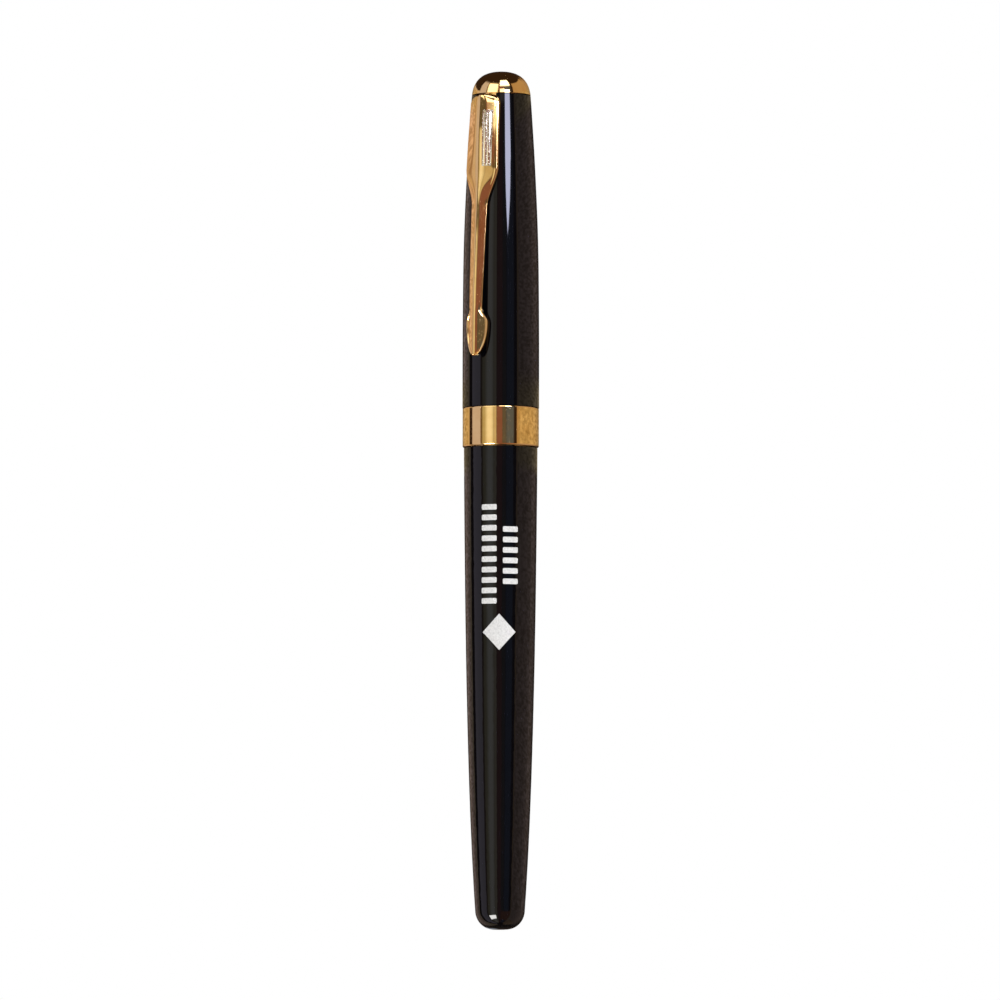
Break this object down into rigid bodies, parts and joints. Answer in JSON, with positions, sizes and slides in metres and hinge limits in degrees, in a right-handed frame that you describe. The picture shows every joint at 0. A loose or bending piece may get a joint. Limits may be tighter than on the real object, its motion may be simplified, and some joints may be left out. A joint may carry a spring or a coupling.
{
  "type": "rollerball pen",
  "caption": "Capped rollerball pen with a lacquered barrel and cap, gold trim, a sprung pocket clip, a screw-in writing section and a plastic refill.",
  "frame": {"origin": "centre of the barrel's closed end, on the pen's axis", "axes": "+Z along the pen towards the finial; the clip is on the -Y side; +X to the right when the clip faces the viewer"},
  "size_m": [0.0122, 0.0143, 0.1371],
  "materials": {
    "black_lacquer": "black gloss lacquer on brass",
    "gold_plate": "polished gold plate",
    "raw_brass": "turned, uncoated",
    "grip_black": "satin black",
    "liner_plastic": "moulded",
    "clutch_plastic": "moulded, natural",
    "spring_steel": "drawn wire",
    "refill_tube_plastic": "moulded, pale grey",
    "refill_nose_plastic": "moulded, black",
    "ink_fibre": "ink-soaked fibre",
    "tip_steel": "turned and polished",
    "ball_steel": "ground ball"
  },
  "bodies": {
    "section": {"grip_section": "grip_black", "section_ring": "gold_plate", "section_connector": "raw_brass", "front_trim_ring": "gold_plate", "nose_cone": "gold_plate"},
    "cap": {"cap_tube": "black_lacquer", "cap_band": "gold_plate", "cap_clutch": "clutch_plastic", "inner_cap": "liner_plastic", "finial": "gold_plate", "finial_screw": "raw_brass"},
    "clip": {"pocket_clip": "gold_plate"},
    "spring": {"refill_spring": "spring_steel"},
    "barrel": {"barrel_tube": "black_lacquer", "barrel_bush": "raw_brass", "spring_seat": "liner_plastic"},
    "refill": {"refill_tube": "refill_tube_plastic", "refill_end_plug": "refill_nose_plastic", "ink_reservoir": "ink_fibre", "refill_nose": "refill_nose_plastic", "ink_feed": "ink_fibre", "ball_tip": "tip_steel"},
    "ball": {"writing_ball": "ball_steel"}
  },
  "joints": [
    {"name": "cap_pull", "type": "slide", "parent": "section", "child": "cap", "axis": [0, 0, 1], "range_m": [0, 0.06]},
    {"name": "clip_flex", "type": "hinge", "parent": "cap", "child": "clip", "pos_m": [0, -0.0044, 0.1321], "axis": [-1, 0, 0], "range_deg": [0, 2.5], "stiffness_Nm_per_rad": 5.6, "deforming": ["pocket_clip"]},
    {"name": "barrel_travel", "type": "slide", "parent": "section", "child": "spring", "axis": [0, 0, -1], "range_m": [0, 0.006], "deforming": ["refill_spring"]},
    {"name": "barrel_unscrew", "type": "hinge", "parent": "spring", "child": "barrel", "pos_m": [0, 0, 0.07], "axis": [0, 0, -1], "range_deg": [0, 2160]},
    {"name": "refill_push", "type": "slide", "parent": "section", "child": "refill", "axis": [0, 0, -1], "range_m": [0, 0.0015], "stiffness_N_per_m": 800, "springref_m": -0.002, "deforming": ["refill_spring"]},
    {"name": "ball_spin", "type": "hinge", "parent": "refill", "child": "ball", "pos_m": [0, 0, 0.11695], "axis": [1, 0, 0], "continuous": true}
  ],
  "couplings": [
    {"joint": "barrel_unscrew", "follows": "barrel_travel", "rad_per_m": 6283.2}
  ]
}
